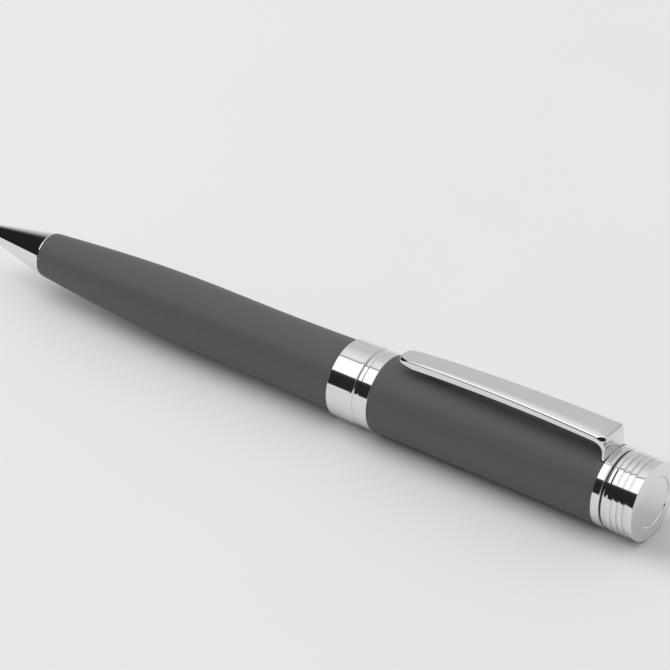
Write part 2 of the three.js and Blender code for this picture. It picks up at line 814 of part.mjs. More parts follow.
place("refill_tip", refillTip(), brass());
place("writing_ball", writingBall(), steel());
place("ink_column", inkColumn(), ink());
place("return_spring", returnSpring(), steel());

// Rest the band on z = 0 with the pen's length centred on x = 0
pen.position.set(-(opening + knobEnd) / 2, 0, bandRadius);
pen.updateMatrixWorld(true);

export default pen;
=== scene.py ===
"""A ballpoint pen on a pale floor: fine surfaces, materials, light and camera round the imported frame."""

import math

import bmesh
import bpy
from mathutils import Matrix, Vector
from mathutils.geometry import tessellate_polygon


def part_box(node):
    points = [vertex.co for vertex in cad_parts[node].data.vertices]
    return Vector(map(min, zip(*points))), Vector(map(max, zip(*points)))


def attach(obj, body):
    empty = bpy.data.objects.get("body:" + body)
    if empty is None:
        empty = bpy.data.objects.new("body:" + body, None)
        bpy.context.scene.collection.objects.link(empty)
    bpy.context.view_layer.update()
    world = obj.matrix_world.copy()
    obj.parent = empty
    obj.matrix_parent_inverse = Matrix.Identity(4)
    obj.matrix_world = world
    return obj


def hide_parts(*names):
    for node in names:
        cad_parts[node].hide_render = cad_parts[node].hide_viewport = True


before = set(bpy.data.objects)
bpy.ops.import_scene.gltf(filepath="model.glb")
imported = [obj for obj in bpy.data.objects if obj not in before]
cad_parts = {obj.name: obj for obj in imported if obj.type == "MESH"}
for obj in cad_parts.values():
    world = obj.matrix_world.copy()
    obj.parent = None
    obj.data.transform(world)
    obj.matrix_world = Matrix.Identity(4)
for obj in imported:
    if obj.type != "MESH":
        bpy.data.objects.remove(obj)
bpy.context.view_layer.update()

MM = 0.001

# Sizes in millimetres. Stations run along the pen's axis from the front face of the centre band.
BAND_LENGTH = 5.08
BAND_RADIUS = 6.65
UPPER_RADIUS = 6.6

band_low, band_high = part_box("centre_ring_lower")
STATION_ZERO = band_high.x / MM - BAND_LENGTH
AXIS_HEIGHT = (band_low.z + band_high.z) / 2 / MM

# Camera fitted to the photograph: focal length in pixels of its frame, and where station 0 lies in its view
FOCAL_PX = 3200
FRAME_PX = 670
SENSOR = 36
AZIMUTH = math.radians(36.38)
ELEVATION = math.radians(33.18)
VIEW_RIGHT, VIEW_DOWN, VIEW_AHEAD = 2.409, 6.886, 519.57


def spot(station, across=0.0, up=0.0):
    """A point given by its station along the pen and its offset from the pen's axis, in metres."""
    return Vector((STATION_ZERO + station, across, AXIS_HEIGHT + up)) * MM


def add_camera():
    data = bpy.data.cameras.new("camera")
    data.sensor_width = SENSOR
    data.lens = FOCAL_PX / FRAME_PX * SENSOR
    data.clip_start = 0.01
    data.clip_end = 20
    camera = bpy.data.objects.new("camera", data)
    bpy.context.scene.collection.objects.link(camera)
    camera.rotation_euler = (math.pi / 2 - ELEVATION, 0, AZIMUTH)
    turn = camera.rotation_euler.to_matrix()
    right, up, back = turn.col[0], turn.col[1], turn.col[2]
    camera.location = spot(0) + (VIEW_AHEAD * back - VIEW_RIGHT * right + VIEW_DOWN * up) * MM
    bpy.context.scene.camera = camera


add_camera()


# Materials
MIDDLE_LOW, MIDDLE_HIGH = 0.25, 0.75  # the part of a noise's 0 to 1 range that it mostly stays in
COARSER = 6  # how many times the patches of colour and gloss are larger than the grain


class Nodes:
    """Short calls that add and join shader nodes of one material."""

    def __init__(self, name):
        self.material = bpy.data.materials.new(name)
        self.material.use_nodes = True
        self.tree = self.material.node_tree
        self.surface = self.tree.nodes["Principled BSDF"]

    def add(self, kind, **inputs):
        node = self.tree.nodes.new(kind)
        for key, value in inputs.items():
            node.inputs[key.replace("_", " ")].default_value = value
        return node

    def join(self, source, target):
        self.tree.links.new(source, target)

    def set(self, **values):
        for key, value in values.items():
            self.surface.inputs[key.replace("_", " ")].default_value = value

    def place(self, stretch=(1, 1, 1)):
        """Object coordinates in millimetres, stretched along the axes."""
        coordinate = self.add("ShaderNodeTexCoord")
        mapping = self.add("ShaderNodeMapping", Scale=[s / MM for s in stretch])
        self.join(coordinate.outputs["Object"], mapping.inputs["Vector"])
        return mapping.outputs["Vector"]

    def noise(self, vector, scale, detail):
        node = self.add("ShaderNodeTexNoise", Scale=scale, Detail=detail)
        self.join(vector, node.inputs["Vector"])
        return node.outputs["Fac"]

    def between(self, value, low, high):
        """Maps the middle of a 0 to 1 value onto a range."""
        node = self.add("ShaderNodeMapRange", From_Min=MIDDLE_LOW, From_Max=MIDDLE_HIGH,
                        To_Min=low, To_Max=high)
        self.join(value, node.inputs["Value"])
        return node.outputs["Result"]

    def tint(self, value, dark, light):
        """Colours the surface between two tones."""
        node = self.add("ShaderNodeValToRGB")
        ramp = node.color_ramp.elements
        ramp[0].position, ramp[1].position = MIDDLE_LOW, MIDDLE_HIGH
        ramp[0].color, ramp[1].color = (*dark, 1), (*light, 1)
        self.join(value, node.inputs["Fac"])
        self.join(node.outputs["Color"], self.surface.inputs["Base Color"])

    def bump(self, height, depth):
        """Relief whose depth is in millimetres."""
        node = self.add("ShaderNodeBump", Distance=depth * MM)
        self.join(height, node.inputs["Height"])
        self.join(node.outputs["Normal"], self.surface.inputs["Normal"])


def grained(name, dark, light, rough, grain, depth, metallic=0.0, stretch=(1, 1, 1), **settings):
    """A finish with fine grain: colour and roughness vary with one noise, and another gives its relief.
    The grain is the noise's scale per millimetre, and the depth is in millimetres."""
    made = Nodes(name)
    made.set(Metallic=metallic, **settings)
    place = made.place(stretch)
    coarse = made.noise(place, grain / COARSER, 4)
    made.tint(coarse, dark, light)
    made.join(made.between(coarse, *rough), made.surface.inputs["Roughness"])
    made.bump(made.noise(place, grain, 2), depth)
    return made.material


lacquer = grained("satin_lacquer", (0.088, 0.085, 0.080), (0.097, 0.093, 0.088), (0.50, 0.56), 6, 0.0015)
chrome = grained("turned_chrome", (0.80, 0.815, 0.825), (0.83, 0.84, 0.845), (0.03, 0.06), 3, 0.00002,
                 metallic=1.0, stretch=(4, 0.3, 0.3))
clip_chrome = grained("pressed_chrome", (0.79, 0.805, 0.815), (0.82, 0.83, 0.835), (0.04, 0.07), 2, 0.00002,
                      metallic=1.0, stretch=(0.3, 1, 1))
brass = grained("turned_brass", (0.50, 0.35, 0.13), (0.62, 0.45, 0.19), (0.22, 0.34), 3, 0.002,
                metallic=1.0, stretch=(4, 0.4, 0.4))
steel = grained("drawn_steel", (0.46, 0.47, 0.48), (0.58, 0.59, 0.60), (0.22, 0.34), 3, 0.002,
                metallic=1.0, stretch=(0.5, 2, 2))
ball_steel = grained("ball_steel", (0.52, 0.53, 0.54), (0.58, 0.59, 0.60), (0.12, 0.2), 8, 0.0004,
                     metallic=1.0)
wire = grained("spring_wire", (0.40, 0.41, 0.42), (0.52, 0.53, 0.54), (0.2, 0.3), 4, 0.001, metallic=1.0)
nylon = grained("moulded_nylon", (0.62, 0.61, 0.56), (0.68, 0.67, 0.62), (0.42, 0.52), 2, 0.004)
black_plastic = grained("black_plastic", (0.015, 0.016, 0.018), (0.024, 0.025, 0.028), (0.3, 0.4), 2, 0.003)
rubber = grained("seal_rubber", (0.010, 0.010, 0.010), (0.018, 0.018, 0.018), (0.7, 0.85), 4, 0.006)
fibre = grained("washer_fibre", (0.050, 0.024, 0.021), (0.080, 0.036, 0.032), (0.28, 0.38), 5, 0.004)
ink = grained("pen_ink", (0.004, 0.006, 0.022), (0.007, 0.010, 0.034), (0.2, 0.3), 1, 0.001)

CAD_MATERIALS = {
    "nose_cone": chrome, "centre_ring_lower": chrome, "centre_ring_upper": chrome, "clip_ring": chrome,
    "end_knob": chrome, "end_disc": chrome, "clip": clip_chrome,
    "lower_barrel": lacquer, "upper_barrel": lacquer,
    "barrel_bush": brass, "mechanism_housing": brass, "cam_sleeve": brass, "end_bush": brass,
    "refill_tip": brass,
    "clip_eye": steel, "knob_stud": steel, "cross_pin": steel, "refill_tube": steel,
    "writing_ball": ball_steel, "return_spring": wire,
    "housing_cap": nylon, "upper_liner": nylon, "plunger": nylon,
    "refill_crown": black_plastic, "friction_ring": rubber, "knob_washer": fibre, "ink_column": ink,
}
for node_name, material in CAD_MATERIALS.items():
    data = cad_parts[node_name].data
    data.materials.clear()
    data.materials.append(material)


# Mesh helpers
EDGE_MARGIN = 0.03
BARREL_FACETS = 192
TURNED_SHARP = 30
CLIP_SHARP = 40


def outline(corners, steps=6):
    """Corners as (station, radius, fillet) turned into points, with each fillet drawn as an arc."""
    points = []
    count = len(corners)
    for i, corner in enumerate(corners):
        here = Vector(corner[:2])
        fillet = corner[2] if len(corner) > 2 else 0
        if not fillet:
            points.append(here)
            continue
        back = (Vector(corners[i - 1][:2]) - here).normalized()
        on = (Vector(corners[(i + 1) % count][:2]) - here).normalized()
        half = back.angle(on) / 2
        centre = here + (back + on).normalized() * fillet / math.sin(half)
        reach = fillet / math.tan(half)
        start = here + back * reach - centre
        end = here + on * reach - centre
        sweep = start.angle(end)
        for k in range(steps + 1):
            share = k / steps
            arc = (start * math.sin((1 - share) * sweep) + end * math.sin(share * sweep)) / math.sin(sweep)
            points.append(centre + arc)
        # A point just past each end of the arc keeps the flat beside it flat in its shading
        margin = reach + min(EDGE_MARGIN, fillet / 4)
        points.insert(len(points) - steps - 1, here + back * margin)
        points.append(here + on * margin)
    return points


def make_piece(name, vertices, faces, body, material, replaced, sharp=TURNED_SHARP):
    """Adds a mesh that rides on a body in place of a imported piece."""
    mesh = bpy.data.meshes.new(name)
    mesh.from_pydata(vertices, [], faces)
    mesh.validate()
    work = bmesh.new()
    work.from_mesh(mesh)
    bmesh.ops.recalc_face_normals(work, faces=work.faces)
    work.to_mesh(mesh)
    work.free()
    mesh.shade_smooth()
    mesh.set_sharp_from_angle(angle=math.radians(sharp))
    mesh.materials.append(material)
    piece = bpy.data.objects.new(name, mesh)
    bpy.context.scene.collection.objects.link(piece)
    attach(piece, body)
    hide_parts(replaced)


def turned(name, points, body, material, replaced, facets=BARREL_FACETS):
    """A piece turned about the pen's axis from (station, radius) points, closed on themselves or the axis."""
    vertices = []
    rings = []
    for station, radius in points:
        if radius < 1e-6:
            rings.append([len(vertices)])
            vertices.append(spot(station))
            continue
        rings.append(list(range(len(vertices), len(vertices) + facets)))
        for k in range(facets):
            angle = 2 * math.pi * k / facets
            vertices.append(spot(station, radius * math.cos(angle), radius * math.sin(angle)))
    on_axis = len(rings[0]) == 1 and len(rings[-1]) == 1
    faces = []
    for a, b in zip(rings, rings[1:] + ([] if on_axis else rings[:1])):
        for k in range(facets):
            n = (k + 1) % facets
            if len(a) == 1:
                faces.append((a[0], b[n], b[k]))
            elif len(b) == 1:
                faces.append((a[k], a[n], b[0]))
            else:
                faces.append((a[k], a[n], b[n], b[k]))
    make_piece(name, vertices, faces, body, material, replaced)


def loft(sections):
    """Joins closed sections of equal point counts into one capped body."""
    count = len(sections[0])
    vertices = [p for section in sections for p in section]
    faces = []
    for s in range(len(sections) - 1):
        for k in range(count):
            n = (k + 1) % count
            faces.append((s * count + k, s * count + n, (s + 1) * count + n, (s + 1) * count + k))
    for offset, section in ((0, sections[0]), ((len(sections) - 1) * count, sections[-1])):
        for a, b, c in tessellate_polygon([section]):
            faces.append((a + offset, b + offset, c + offset))
    return vertices, faces


# Barrels
def spline(points, count):
    """Natural cubic spline radius(station) through the points, sampled evenly."""
    xs = [p[0] for p in points]
    ys = [p[1] for p in points]
    n = len(xs)
    widths = [xs[i + 1] - xs[i] for i in range(n - 1)]
    bends = [0.0] * n
    ratios = [0.0] * n
    for i in range(1, n - 1):
        pull = 6 * ((ys[i + 1] - ys[i]) / widths[i] - (ys[i] - ys[i - 1]) / widths[i - 1])
        pivot = 2 * (widths[i - 1] + widths[i]) - widths[i - 1] * ratios[i - 1]
        ratios[i] = widths[i] / pivot
        bends[i] = (pull - widths[i - 1] * bends[i - 1]) / pivot
    for i in range(n - 2, 0, -1):
        bends[i] -= ratios[i] * bends[i + 1]
    made = []
    for k in range(count + 1):
        x = xs[0] + (xs[-1] - xs[0]) * k / count
        i = min(max(j for j in range(n) if xs[j] <= x + 1e-9), n - 2)
        w, a, b = widths[i], xs[i + 1] - x, x - xs[i]
        y = (bends[i] * a ** 3 + bends[i + 1] * b ** 3) / (6 * w)
        y += (ys[i] / w - bends[i] * w / 6) * a + (ys[i + 1] / w - bends[i + 1] * w / 6) * b
        made.append(Vector((x, y)))
    return made


LOWER_FRONT = -63.65
FRONT_RADIUS = 3.9
FRONT_BORE = 3.3
FRONT_FILLET = 0.3
LOWER_SAMPLES = 96
LOWER_POINTS = [(LOWER_FRONT, FRONT_RADIUS), (-50.72, 4.96), (-34.24, 5.73), (-15.85, 5.83),
                (0, 6.17)]
LOWER_BORE = [(0, 5.75), (-5.3, 5.75), (-5.3, 4.95), (-34, 4.82), (-50, 4.0), (-58.6, FRONT_BORE)]


def lower_barrel():
    """The front tube: waisted near the band, swelling, then tapering to its rounded front edge."""
    front = outline([(LOWER_FRONT, FRONT_BORE), (LOWER_FRONT, FRONT_RADIUS, FRONT_FILLET),
                     (LOWER_FRONT + 1.5, FRONT_RADIUS + 0.15)])[:-1]
    outside = [p for p in spline(LOWER_POINTS, LOWER_SAMPLES) if p.x > front[-1].x + FRONT_FILLET]
    inside = [Vector(p) for p in LOWER_BORE]
    turned("barrel_front", front + outside + inside, "lower_body", lacquer, "lower_barrel")


UPPER_BARREL_FRONT = 7.95
UPPER_BARREL_END = 50.35
UPPER_BORE = 5.75
NOTCH_START = 49.6
NOTCH_HALF = 2.95
NOTCH_STEPS = 32
REST_STEPS = 180


def upper_barrel():
    """The rear tube, with the notch that the clip's leg goes down through."""
    notch = math.asin(NOTCH_HALF / UPPER_RADIUS)
    angles = [-notch + 2 * notch * k / NOTCH_STEPS for k in range(NOTCH_STEPS)]
    angles += [notch + (2 * math.pi - 2 * notch) * k / REST_STEPS for k in range(REST_STEPS)]
    profile = outline([(UPPER_BARREL_FRONT, UPPER_BORE), (UPPER_BARREL_FRONT, UPPER_RADIUS, 0.05),
                       (NOTCH_START, UPPER_RADIUS), (UPPER_BARREL_END, UPPER_RADIUS),
                       (UPPER_BARREL_END, UPPER_BORE), (NOTCH_START, UPPER_BORE)])
    count = len(profile)
    vertices = [spot(p.x, -p.y * math.sin(a), p.y * math.cos(a)) for a in angles for p in profile]
    outer_edge, outer_end, inner_end, inner_edge = range(count - 4, count)
    faces = []
    for k in range(len(angles)):
        n = (k + 1) % len(angles)
        in_notch = k < NOTCH_STEPS
        for j in range(count):
            m = (j + 1) % count
            if in_notch and j in (outer_edge, outer_end, inner_end):
                continue
            faces.append((k * count + j, n * count + j, n * count + m, k * count + m))
        if in_notch:
            faces.append((k * count + outer_edge, n * count + outer_edge,
                          n * count + inner_edge, k * count + inner_edge))
    for k in (0, NOTCH_STEPS):
        faces.append(tuple(k * count + j for j in (outer_edge, outer_end, inner_end, inner_edge)))
    make_piece("barrel_rear", vertices, faces, "upper_body", lacquer, "upper_barrel")


lower_barrel()
upper_barrel()


# Turned trim
SPIGOT_LENGTH = 5
BAND_BORE = 4.9
BAND_SPIGOT = 5.6
BAND_CHAMFER = (0.32, 0.36)
UPPER_RING_FRONT = 5.2
UPPER_RING_BORE = 5.2
UPPER_SPIGOT = 5.65
UPPER_SPIGOT_LENGTH = 3.1
BAND_LIP_END = 6.15
STUD_BORE = 2.1
CLIP_RING_END = 51.74
WASHER_RADIUS = 6.25
KNOB_FRONT = 51.94
KNOB_LIP_END = 53.08
KNOB_LIP_DROP = 0.08
KNOB_GROOVES = (54.0, 55.07, 56.14)
GROOVE_SIZE = 0.3
STUD_BORE_END = 55.7
KNOB_END = 57.85
DISC_RADIUS = 4.1
DISC_SEAT = KNOB_END - 0.82
DISC_FACE = KNOB_END - 0.14
BEAD_RADIUS = 3.88
CONE_SHANK = 3.2
CONE_SHANK_END = -58.9
CONE_BORE = 2.35
SPRING_SEAT = -69.1
OPENING = -76.3
OPENING_RADIUS = 1.25
BALL_FRONT = -74.3
BALL_RADIUS = 0.35
BALL_STEPS = 24
TIP_SHOULDER = -63.53
TIP_END = -60.73
TIP_RADIUS = 1.15
TIP_SHANK = 0.85
TIP_BORE = 0.2
BALL_SEAT = 0.36


def groove(at):
    """A narrow steep-sided groove cut into the knob."""
    side = ((1.3, 0), (1.1, 0.03), (1, 0.15), (0.75, 0.85), (0.5, 1))
    shape = [*((-along, deep) for along, deep in side), *reversed(side)]
    return [(at + along * GROOVE_SIZE / 2, UPPER_RADIUS - deep * GROOVE_SIZE) for along, deep in shape]


turned("band_ring", outline([
    (-SPIGOT_LENGTH, BAND_BORE), (-SPIGOT_LENGTH, BAND_SPIGOT), (0, BAND_SPIGOT), (0, BAND_RADIUS, 0.1),
    (BAND_LENGTH - BAND_CHAMFER[0], BAND_RADIUS, 0.7), (BAND_LENGTH, BAND_RADIUS - BAND_CHAMFER[1], 0.06),
    (BAND_LENGTH, BAND_BORE),
], 8), "lower_body", chrome, "centre_ring_lower")

turned("band_ring_narrow", outline([
    (UPPER_RING_FRONT, UPPER_RING_BORE), (UPPER_RING_FRONT, BAND_RADIUS - 0.048, 0.1),
    (BAND_LIP_END - 0.26, BAND_RADIUS - 0.036, 0.05), (BAND_LIP_END, BAND_RADIUS, 0.05),
    (UPPER_BARREL_FRONT, BAND_RADIUS, 0.08), (UPPER_BARREL_FRONT, UPPER_SPIGOT),
    (UPPER_BARREL_FRONT + UPPER_SPIGOT_LENGTH, UPPER_SPIGOT),
    (UPPER_BARREL_FRONT + UPPER_SPIGOT_LENGTH, UPPER_RING_BORE),
]), "upper_body", chrome, "centre_ring_upper")

turned("clip_ring_turned", outline([
    (UPPER_BARREL_END, STUD_BORE), (UPPER_BARREL_END, UPPER_RADIUS, 0.03),
    (CLIP_RING_END, UPPER_RADIUS, 0.32), (CLIP_RING_END, STUD_BORE),
]), "upper_body", chrome, "clip_ring")

turned("knob_turned", outline([
    (STUD_BORE_END, 0), (STUD_BORE_END, STUD_BORE), (KNOB_FRONT, STUD_BORE),
    (KNOB_FRONT, UPPER_RADIUS - KNOB_LIP_DROP, 0.5), (KNOB_LIP_END - 0.3, UPPER_RADIUS - 0.076, 0.05),
    (KNOB_LIP_END, UPPER_RADIUS, 0.05), *(point for at in KNOB_GROOVES for point in groove(at)),
    (KNOB_END - 0.17, UPPER_RADIUS, 0.12), (KNOB_END - 0.11, 6.1), (KNOB_END - 0.06, 5.6),
    (KNOB_END - 0.025, 5.1), (KNOB_END, 4.6), (KNOB_END, DISC_RADIUS + 0.2, 0.08),
    (KNOB_END - 0.15, DISC_RADIUS + 0.01, 0.04), (DISC_SEAT, DISC_RADIUS + 0.01), (DISC_SEAT, 0),
], 10), "upper_body", chrome, "end_knob")

turned("knob_disc", outline([
    (DISC_SEAT, 0), (DISC_SEAT, DISC_RADIUS), (DISC_FACE, DISC_RADIUS, 0.03), (DISC_FACE, 0),
]), "upper_body", chrome, "end_disc")

turned("washer_turned", outline([
    (CLIP_RING_END, STUD_BORE), (CLIP_RING_END, WASHER_RADIUS, 0.05),
    (KNOB_FRONT, WASHER_RADIUS, 0.05), (KNOB_FRONT, STUD_BORE),
]), "upper_body", fibre, "knob_washer")

turned("nose_cone_turned", outline([
    (OPENING, OPENING_RADIUS), (OPENING, 1.5, 0.14), (LOWER_FRONT - 0.2, BEAD_RADIUS, 0.3),
    (LOWER_FRONT, BEAD_RADIUS, 0.06), (LOWER_FRONT, CONE_SHANK), (CONE_SHANK_END, CONE_SHANK),
    (CONE_SHANK_END, CONE_BORE), (SPRING_SEAT, CONE_BORE), (SPRING_SEAT, OPENING_RADIUS),
], 8), "lower_body", chrome, "nose_cone")

turned("refill_point", outline([
    (BALL_FRONT + 0.17, BALL_SEAT), (BALL_FRONT + 0.17, 0.44, 0.03), (BALL_FRONT + 0.9, 0.52, 0.2),
    (BALL_FRONT + 2.9, 1.12, 0.8), (BALL_FRONT + 4.4, TIP_RADIUS, 0.8), (TIP_SHOULDER, TIP_RADIUS),
    (TIP_SHOULDER, TIP_SHANK), (TIP_END, TIP_SHANK), (TIP_END, TIP_BORE), (BALL_FRONT + 0.76, TIP_BORE),
    (BALL_FRONT + 0.76, BALL_SEAT),
]), "refill", brass, "refill_tip", facets=96)

turned("ball", [(BALL_FRONT + BALL_RADIUS * (1 - math.cos(math.pi * k / BALL_STEPS)),
                 BALL_RADIUS * math.sin(math.pi * k / BALL_STEPS)) for k in range(BALL_STEPS + 1)],
       "refill", ball_steel, "writing_ball", facets=48)


# Clip
CLIP_TIP = 10.55
CLIP_FACE = 50.33
CLIP_END_WIDTH = 3.55
CLIP_ROOT_WIDTH = 5.8
LEG_WIDTH = 5.7
SHEET = 0.5
FLANGE = 1.22
BEND = 0.9
THROAT = 1.5
CROWN = 0.155
APEX = 41.15
APEX_HEIGHT = 10.3
ARCH_RADIUS = 335
LEG_THICKNESS = SHEET + 0.03
LEG_FOOT = 5.3
ARM_STEPS, BEND_STEPS, LEG_STEPS = 60, 36, 8
# Tilts in degrees at which the crown, the roll, the shoulder and the facet end, from the middle outwards
CROWN_TILT, ROLL_TILT, SHOULDER_TILT, FACET_TILT = 5, 22, 50, 70
# Free end: setback from the tip, drop below the arch, width, flange
NOSE = ((0, 0.2, 1.9, 0.58), (0.02, 0.15, 2.2, 0.6), (0.06, 0.11, 2.45, 0.61), (0.12, 0.075, 2.68, 0.62),
        (0.2, 0.045, 2.88, 0.64), (0.32, 0.02, 3.08, 0.66), (0.5, 0.005, 3.26, 0.69), (0.75, 0, 3.4, 0.73),
        (1.1, 0, 3.51, 0.8), (1.5, 0, 3.59, 0.88), (1.9, 0, 3.64, 0.97), (2.4, 0, 3.69, 1.08))
NOSE_LENGTH = 2.9
NOSE_ROUNDING = 1.8
# The roll grows along the arm, from a length at one station and between two limits
ROLL_BASE, ROLL_STATION, ROLL_GROWTH = 0.3, 18, 0.028
ROLL_LEAST, ROLL_MOST = 0.05, 1.0
# Grip pressed down below the free end: height above the pen's axis, radius
GRIP_AT = 13.65
GRIP_PROFILE = ((8.75, 1.2), (8.65, 1.14), (8.5, 1.1), (8.2, 1.08), (7.9, 1.0), (7.55, 0.86), (7.25, 0.64),
                (7.03, 0.38), (6.93, 0.18), (6.9, 0.0))


def clip_height(station):
    return APEX_HEIGHT - (station - APEX) ** 2 / (2 * ARCH_RADIUS)


def ramped(value, start, length):
    """0 before the start, 1 after the length, even in between."""
    return min(max((value - start) / length, 0), 1)


def brow(half, roll, shoulder, edge, facet):
    """Half of the clip's top in section, as (across, depth) from its middle to the side wall: the tilt grows
    slowly over the crown, faster over the roll and the shoulder, and the edge turns it upright. The facet is
    extra length where the edge starts."""
    def walk(start, end, length, steps):
        for k in range(steps):
            tilt = math.radians(start + (end - start) * (k + 0.5) / steps)
            yield length / steps * math.cos(tilt), length / steps * math.sin(tilt)

    outer = [*walk(CROWN_TILT, ROLL_TILT, roll, 6), *walk(ROLL_TILT, SHOULDER_TILT, shoulder, 5),
             *walk(SHOULDER_TILT, FACET_TILT, facet + edge * math.radians(FACET_TILT - SHOULDER_TILT), 4),
             *walk(FACET_TILT, 90, edge * math.radians(90 - FACET_TILT), 3)]
    flat = half - sum(step[0] for step in outer)
    points = [(0.0, 0.0)]
    for across, depth in [*walk(0, CROWN_TILT, flat, 5), *outer]:
        points.append((points[-1][0] + across, points[-1][1] + depth))
    return points


def clip_section(top, foot, width, crown, roll, shoulder, edge, facet=0.0):
    """Section across the clip: crowned top, rounded shoulders, side flanges turned down, hollow below."""
    down = (foot - top).normalized()
    flange = (foot - top).length
    half = width / 2
    sheet = min(SHEET, flange - 0.02)
    lip = half - min(SHEET, half * 0.6)
    side = [(across, depth - crown) for across, depth in brow(half, roll, shoulder, edge, facet)]
    rim = [(-half, flange), *((-across, depth) for across, depth in reversed(side)), *side[1:]]
    rim += [(half, flange), (lip, flange), (lip, sheet), (-lip, sheet), (-lip, flange)]
    return [spot(top.x + down.x * depth, across, top.y + down.y * depth) for across, depth in rim]


def nose_and_arm_rows(arm_end):
    """What clip_section takes for each section from the free end to the bend."""
    def row(station, drop, flange, *settings):
        height = clip_height(station) - drop
        return Vector((station, height)), Vector((station, height - flange)), *settings

    for setback, drop, width, flange in NOSE:
        rounding = 1 - ramped(setback, 0, NOSE_ROUNDING)
        yield row(CLIP_TIP + setback, drop, flange, width, CROWN / 2, ROLL_LEAST, 0.12 + 0.25 * rounding,
                  0.4 - 0.2 * rounding, 0.3 * min(1, 1.5 * rounding))
    arm_start = CLIP_TIP + NOSE_LENGTH
    for k in range(ARM_STEPS + 1):
        at = arm_start + (arm_end - arm_start) * k / ARM_STEPS
        share = (at - CLIP_TIP) / (CLIP_FACE - CLIP_TIP)
        near_tip = 1 - ramped(at, arm_start, 2)
        roll = min(max(ROLL_BASE + (at - ROLL_STATION) * ROLL_GROWTH, ROLL_LEAST), ROLL_MOST)
        yield row(at, 0, FLANGE, CLIP_END_WIDTH + (CLIP_ROOT_WIDTH - CLIP_END_WIDTH) * share,
                  CROWN - CROWN / 2 * near_tip, roll, 0.2 + 0.2 * share - 0.1 * near_tip,
                  0.3 + 0.15 * share + 0.1 * near_tip)


def bend_rows(start):
    """The same round the tight bend, whose outside is a small arc and whose throat below is a wider one."""
    bend_start = CLIP_FACE - BEND
    height = clip_height(bend_start)
    straight = bend_start - start
    arc = BEND * math.pi / 2
    lower = FLANGE + THROAT - BEND
    for k in range(1, BEND_STEPS + 1):
        share = k / BEND_STEPS
        run = share * (straight + arc + lower) - straight
        turn = min(max(run / BEND, 0), math.pi / 2)
        top = Vector((bend_start + min(run, 0) + BEND * math.sin(turn),
                      height - BEND * (1 - math.cos(turn)) - max(run - arc, 0)))
        swing = math.pi / 2 * share
        foot = Vector((start + THROAT * math.sin(swing), height - FLANGE - THROAT * (1 - math.cos(swing))))
        past_bend = ramped(run, arc * 0.3, arc * 0.6)
        corner = max(0, 1 - ((run - arc * 0.4) / (arc * 0.9)) ** 2)
        sharper = max(past_bend, corner)
        yield (top, foot, CLIP_ROOT_WIDTH - (CLIP_ROOT_WIDTH - LEG_WIDTH) * share, CROWN * (1 - past_bend),
               ROLL_MOST - 0.9 * sharper, 0.42 - 0.3 * sharper, 0.45 - 0.25 * past_bend, 0.75 * corner)


def spin(centres, radii, facets=48):
    """A solid of level rings round a vertical axis, from a capped top to a point below."""
    vertices = []
    faces = []
    for centre, radius in zip(centres, radii):
        for k in range(facets if radius else 1):
            angle = 2 * math.pi * k / facets
            vertices.append(centre + Vector((math.cos(angle), math.sin(angle), 0)) * radius * MM)
    for ring in range(len(radii) - 1):
        for k in range(facets):
            n = (k + 1) % facets
            a, b = ring * facets, (ring + 1) * facets
            faces.append((a + k, a + n, b + n, b + k) if radii[ring + 1] else (a + k, a + n, b))
    faces.append(tuple(range(facets)))
    return vertices, faces


def clip():
    throat_start = CLIP_FACE - LEG_THICKNESS - THROAT
    rows = [*nose_and_arm_rows(throat_start), *bend_rows(throat_start)]
    top = rows[-1][0].y
    for k in range(1, LEG_STEPS + 1):
        z = top + (LEG_FOOT - top) * k / LEG_STEPS
        rows.append((Vector((CLIP_FACE, z)), Vector((CLIP_FACE - LEG_THICKNESS, z)), LEG_WIDTH, 0,
                     0.1, 0.12, 0.2))
    vertices, faces = loft([clip_section(*row) for row in rows])
    grip, grip_faces = spin([spot(GRIP_AT, 0, height) for height, _ in GRIP_PROFILE],
                            [radius for _, radius in GRIP_PROFILE])
    faces += [tuple(i + len(vertices) for i in face) for face in grip_faces]
    vertices += grip
    make_piece("clip_pressed", vertices, faces, "clip_body", clip_chrome, "clip", CLIP_SHARP)


clip()


# Floor, light and surroundings, in metres and watts. The strip is the long softbox that the chrome mirrors.
FLOOR_LEVEL = 0.775
STRIP_LEVEL = 1.25
FLOOR_REACH = 4
LAMP_AZIMUTH = math.radians(-75)
LAMP_ELEVATION = math.radians(38)
LAMP_DISTANCE = 3.0
LAMP_SIDE = 2.4
LAMP_POWER = 66


def add_floor():
    mesh = bpy.data.meshes.new("floor")
    mesh.from_pydata([(-FLOOR_REACH, -FLOOR_REACH, 0), (FLOOR_REACH, -FLOOR_REACH, 0),
                      (FLOOR_REACH, FLOOR_REACH, 0), (-FLOOR_REACH, FLOOR_REACH, 0)], [], [(0, 1, 2, 3)])
    floor = bpy.data.objects.new("floor", mesh)
    bpy.context.scene.collection.objects.link(floor)
    mesh.materials.append(grained("pale_floor", (0.765, 0.765, 0.76), (0.785, 0.785, 0.78), (0.6, 0.7),
                                  0.05, 0.0))


def add_lamp():
    """A square softbox that lights the pen and floor but isn't itself mirrored in the chrome."""
    data = bpy.data.lights.new("side_softbox", "AREA")
    data.shape = "RECTANGLE"
    data.size = data.size_y = LAMP_SIDE
    data.energy = LAMP_POWER
    lamp = bpy.data.objects.new("side_softbox", data)
    bpy.context.scene.collection.objects.link(lamp)
    away = Vector((math.sin(LAMP_AZIMUTH) * math.cos(LAMP_ELEVATION),
                   -math.cos(LAMP_AZIMUTH) * math.cos(LAMP_ELEVATION), math.sin(LAMP_ELEVATION)))
    lamp.location = spot(0) + away * LAMP_DISTANCE
    lamp.rotation_euler = away.to_track_quat("Z", "Y").to_euler()
    lamp.visible_glossy = False
    lamp.visible_camera = False


